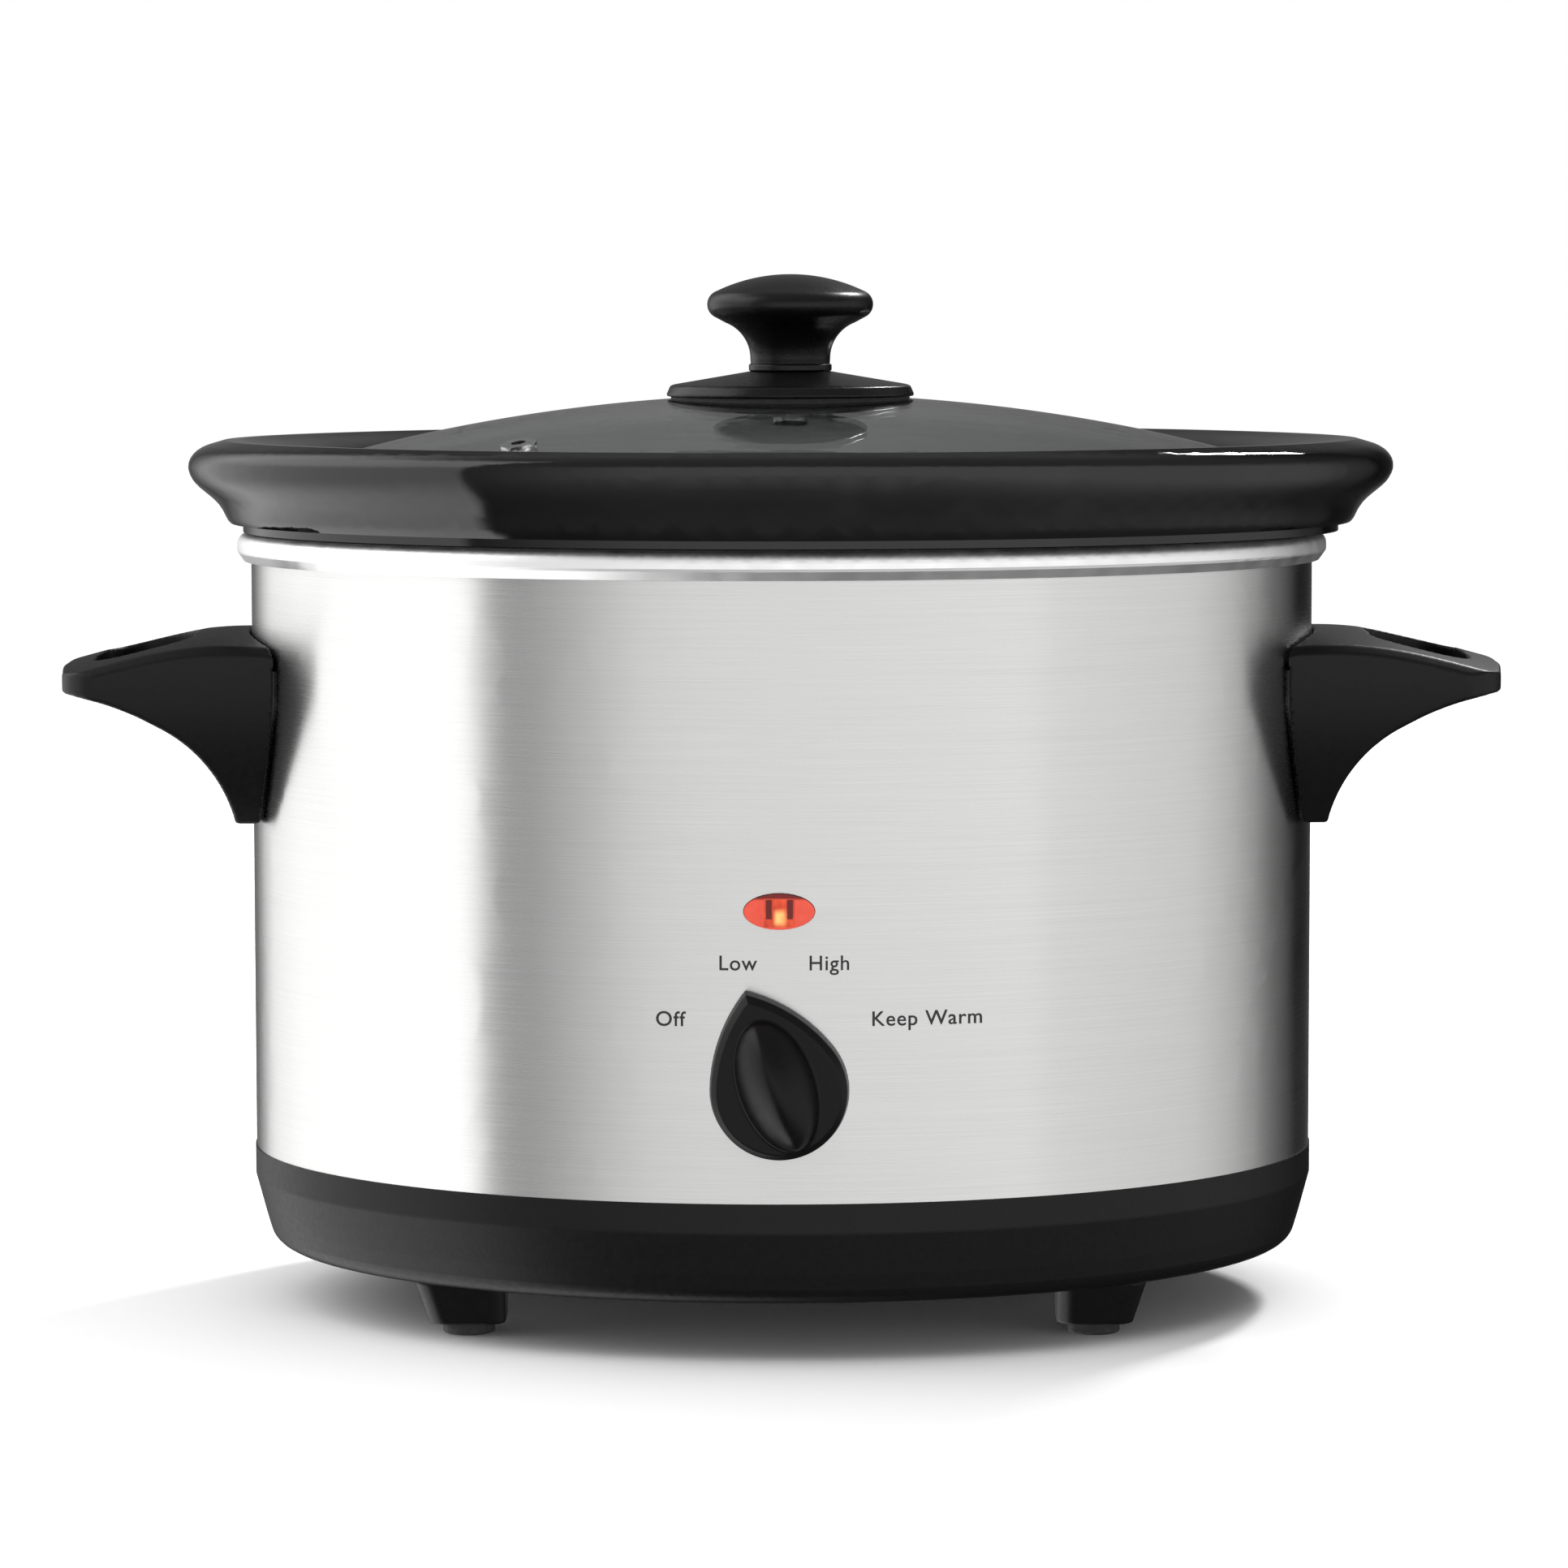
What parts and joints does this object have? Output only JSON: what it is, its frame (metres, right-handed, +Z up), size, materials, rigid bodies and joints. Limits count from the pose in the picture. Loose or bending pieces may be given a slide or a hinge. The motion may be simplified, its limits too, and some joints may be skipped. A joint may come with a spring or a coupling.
{
  "type": "slow cooker",
  "caption": "Oval electric slow cooker: brushed steel housing, lift-out glazed crock, domed glass lid with knob, side handles, rotary heat dial and lamp.",
  "frame": {"origin": "on the table, under the middle of the oval housing", "axes": "+X along the oval's length towards the right-hand handle, -Y towards the front with the dial, +Z up"},
  "size_m": [0.377, 0.2546, 0.2697],
  "materials": {
    "brushed_steel": "fine horizontal brush",
    "satin_aluminium": "satin, spun",
    "heater_fibre": "woven glass fibre",
    "zinc_steel": "bright zinc plate",
    "tinned_brass": "tinned",
    "black_plastic": "fine spark texture",
    "dial_plastic": "satin",
    "knob_phenolic": "satin with a fine grain",
    "phenolic": "moulded",
    "white_plastic": "moulded",
    "red_lens": "clear red, moulded",
    "neon_glass": "glowing",
    "fuse_ceramic": "matte",
    "black_rubber": "matte",
    "foot_rubber": "matte",
    "clear_silicone": "translucent",
    "lead_insulation": "silicone sleeve",
    "earth_insulation": "silicone sleeve",
    "black_glaze": "high gloss",
    "lid_glass": "clear, toughened",
    "polished_steel": "polished"
  },
  "bodies": {
    "housing": {"outer_wrap": "brushed_steel", "heating_pan": "satin_aluminium", "heater_band": "heater_fibre", "heater_strap_lower": "zinc_steel", "heater_strap_upper": "zinc_steel", "strap_screws": "zinc_steel", "tie_stud": "zinc_steel", "tie_washer": "zinc_steel", "tie_nut": "zinc_steel", "base_tray": "black_plastic", "base_legs": "black_plastic", "base_bracket": "zinc_steel", "base_screws": "zinc_steel", "switch_body": "phenolic", "switch_plate": "zinc_steel", "switch_tabs": "tinned_brass", "lamp_lens": "red_lens", "lamp_housing": "white_plastic", "neon_bulb": "neon_glass", "lamp_clip": "zinc_steel", "cord_gland": "black_plastic", "gland_nut": "black_plastic", "terminal_block": "white_plastic", "terminal_screws": "zinc_steel", "thermal_fuse": "fuse_ceramic", "fuse_clip": "zinc_steel", "foot_pad_front_left": "foot_rubber", "foot_pad_rear_left": "foot_rubber", "foot_pad_front_right": "foot_rubber", "foot_pad_rear_right": "foot_rubber", "handle_right": "black_plastic", "handle_left": "black_plastic", "handle_gasket_right": "black_rubber", "handle_gasket_left": "black_rubber", "handle_stiffener_right": "zinc_steel", "handle_stiffener_left": "zinc_steel", "handle_screws_right": "zinc_steel", "handle_screws_left": "zinc_steel", "live_lead": "lead_insulation", "heater_lead_low": "lead_insulation", "heater_lead_high": "lead_insulation", "neutral_lead": "lead_insulation", "lamp_lead": "lead_insulation", "earth_lead": "earth_insulation"},
    "crock": {"crock": "black_glaze"},
    "lid": {"glass_lid": "lid_glass", "vent_grommet": "polished_steel", "knob_head": "knob_phenolic", "knob_insert": "tinned_brass", "knob_collar": "knob_phenolic", "knob_skirt": "knob_phenolic", "skirt_gasket": "black_rubber", "seal_washer": "clear_silicone", "lid_washer": "polished_steel", "lid_screw": "polished_steel"},
    "dial": {"dial_knob": "dial_plastic", "dial_clip": "zinc_steel", "switch_shaft": "zinc_steel"}
  },
  "joints": [
    {"name": "crock_lift", "type": "slide", "parent": "housing", "child": "crock", "axis": [0, 0, 1], "range_m": [0, 0.16]},
    {"name": "lid_lift", "type": "slide", "parent": "crock", "child": "lid", "axis": [0, 0, 1], "range_m": [0, 0.12]},
    {"name": "dial_turn", "type": "hinge", "parent": "housing", "child": "dial", "pos_m": [0, -0.1185, 0.0696], "axis": [0, 1, 0], "range_deg": [-38, 76]}
  ]
}
